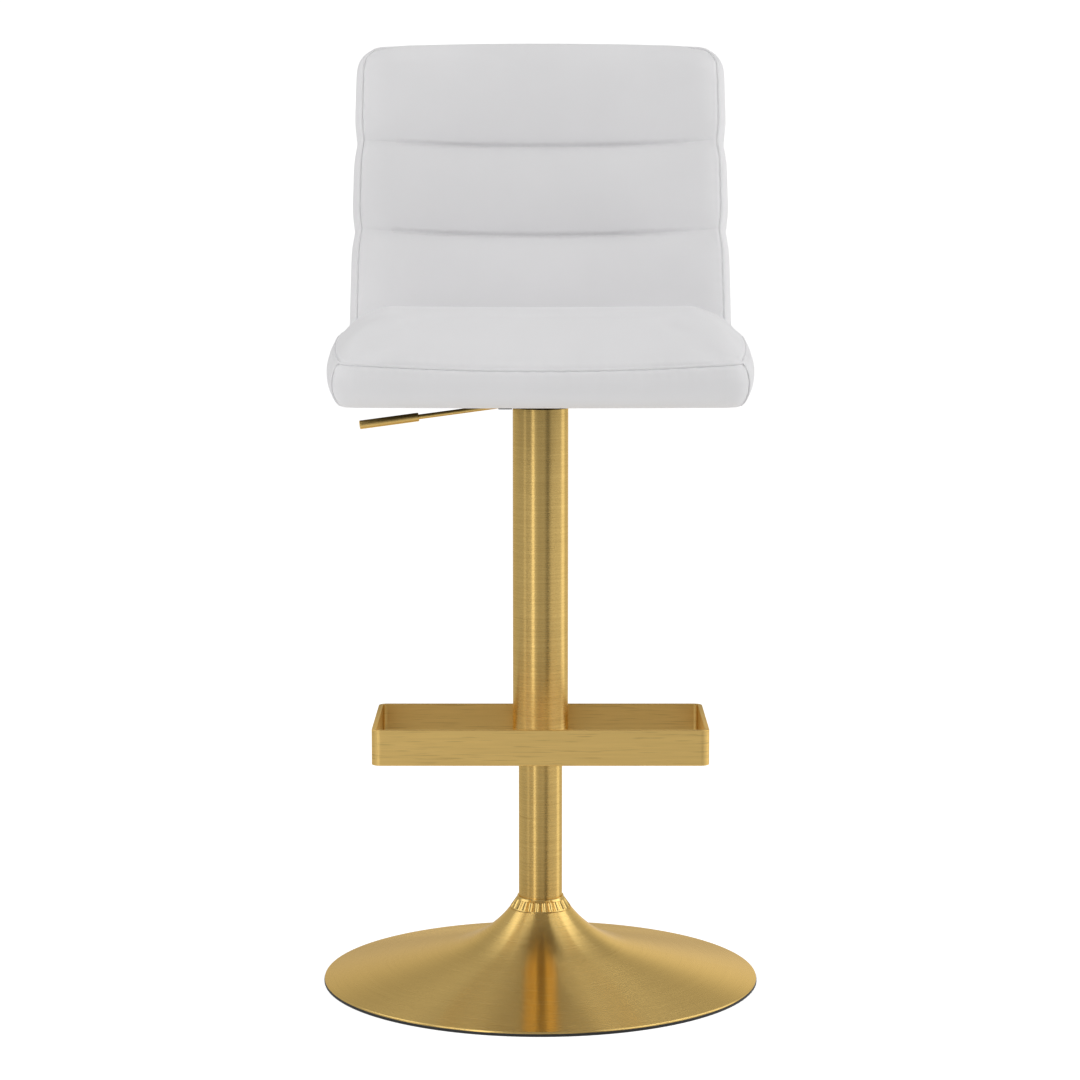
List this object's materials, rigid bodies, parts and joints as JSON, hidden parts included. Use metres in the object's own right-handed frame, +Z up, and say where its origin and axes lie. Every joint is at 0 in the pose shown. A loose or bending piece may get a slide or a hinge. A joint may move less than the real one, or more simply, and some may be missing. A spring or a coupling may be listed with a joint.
{
  "type": "bar stool",
  "caption": "Gas lift bar stool: padded square seat and channelled back, rectangular footrest on the column, round trumpet base, release lever.",
  "frame": {"origin": "on the column's axis at floor level, under the centre of the round base", "axes": "+Z up the column, -Y the way the sitter faces, +X to the left of the sitter, which is the right of someone looking at the stool's front"},
  "size_m": [0.4507, 0.4508, 0.9679],
  "materials": {
    "gold_metal": "brushed gold plating",
    "rubber": "matte",
    "plain_steel": "satin",
    "zinc_steel": "satin",
    "black_steel": "satin",
    "cast_iron": "matte",
    "black_plastic": "matte",
    "brass": "satin",
    "plywood": "matte",
    "foam": "matte",
    "white_leather": "satin",
    "dust_cloth": "matte"
  },
  "bodies": {
    "base": {"base_shell": "gold_metal", "base_weight_disc": "cast_iron", "base_bottom_cover": "black_steel", "base_rubber_ring": "rubber", "base_hub": "plain_steel", "hub_bolts": "zinc_steel", "cover_screws": "zinc_steel", "column_collar": "gold_metal", "lower_column_tube": "gold_metal", "guide_bushing": "black_plastic", "column_end_cap": "plain_steel", "thrust_washer_lower": "plain_steel"},
    "ball_cage": {"thrust_ball_cage": "black_plastic", "thrust_balls": "plain_steel"},
    "rod": {"piston_rod": "plain_steel", "piston": "plain_steel", "piston_seal": "rubber", "thrust_washer_upper": "plain_steel", "rod_bumper": "rubber", "rod_washer": "zinc_steel", "rod_clip": "zinc_steel"},
    "seat": {"pressure_cylinder": "black_steel", "rod_guide": "black_plastic", "rod_seal": "rubber", "valve_body": "brass", "plate_socket": "black_steel", "seat_plate": "black_steel", "lever_bracket": "black_steel", "lever_pivot_pin": "zinc_steel", "cover_tube": "gold_metal", "cover_tube_bush": "black_plastic", "tube_top_ring": "black_steel", "footrest_loop": "gold_metal", "seat_bolts": "zinc_steel", "bolt_washers": "zinc_steel", "tee_nuts": "zinc_steel", "seat_board": "plywood", "seat_dust_cover": "dust_cloth", "seat_foam": "foam", "seat_cover": "white_leather", "seat_piping": "white_leather", "back_board": "plywood", "back_foam": "foam", "back_cover": "white_leather", "back_piping": "white_leather", "back_rear_panel": "white_leather", "back_brackets": "black_steel", "bracket_screws": "zinc_steel"},
    "lever": {"lever_rod": "gold_metal", "lever_grip": "gold_metal"},
    "valve_pin": {"release_pin": "zinc_steel"}
  },
  "joints": [
    {"name": "swivel", "type": "hinge", "parent": "base", "child": "rod", "pos_m": [0, 0, 0.02], "axis": [0, 0, 1], "continuous": true},
    {"name": "bearing_turn", "type": "hinge", "parent": "base", "child": "ball_cage", "pos_m": [0, 0, 0.02], "axis": [0, 0, 1], "continuous": true},
    {"name": "lift", "type": "slide", "parent": "rod", "child": "seat", "axis": [0, 0, 1], "range_m": [-0.048, 0.162]},
    {"name": "lever_pull", "type": "hinge", "parent": "seat", "child": "lever", "pos_m": [-0.036, 0, 0.59925], "axis": [0, 1, 0], "range_deg": [0, 5], "stiffness_Nm_per_rad": 4, "springref_deg": -5.73},
    {"name": "pin_press", "type": "slide", "parent": "seat", "child": "valve_pin", "axis": [0, 0, -1], "range_m": [0, 0.0032]}
  ],
  "couplings": [
    {"joint": "pin_press", "follows": "lever_pull", "m_per_rad": 0.036},
    {"joint": "bearing_turn", "follows": "swivel", "ratio": 0.5}
  ]
}
